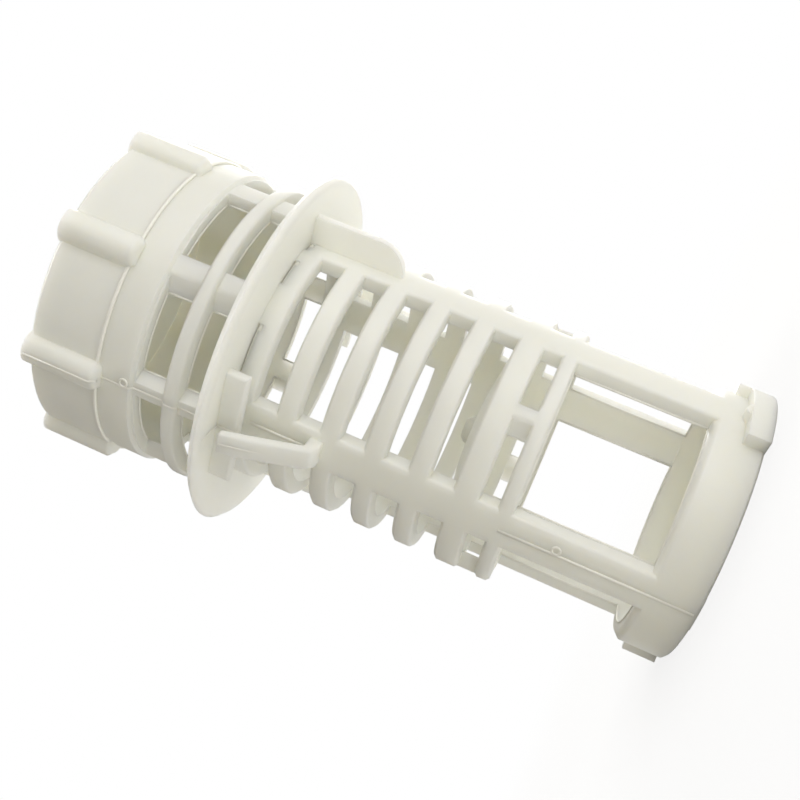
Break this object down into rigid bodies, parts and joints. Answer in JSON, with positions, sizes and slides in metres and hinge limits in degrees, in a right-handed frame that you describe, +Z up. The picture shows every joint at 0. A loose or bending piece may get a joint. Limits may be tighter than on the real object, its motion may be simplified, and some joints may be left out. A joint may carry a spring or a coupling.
{
  "type": "dishwasher drain filter body",
  "caption": "Round slotted drain filter body with a closed grip cap, a wide seating flange, finned barrel, open windows and a bayonet foot.",
  "frame": {"origin": "centre of the foot's end face, which the part stands on", "axes": "+Z up along the barrel's axis to the grip cap; the mould halves part in the plane x = 0, with the keys under the flange on -Y and +Y"},
  "size_m": [0.0668, 0.0668, 0.1175],
  "materials": {
    "white_polypropylene": "satin, as moulded"
  },
  "bodies": {
    "root": {"filter_body": "white_polypropylene"}
  },
  "joints": []
}
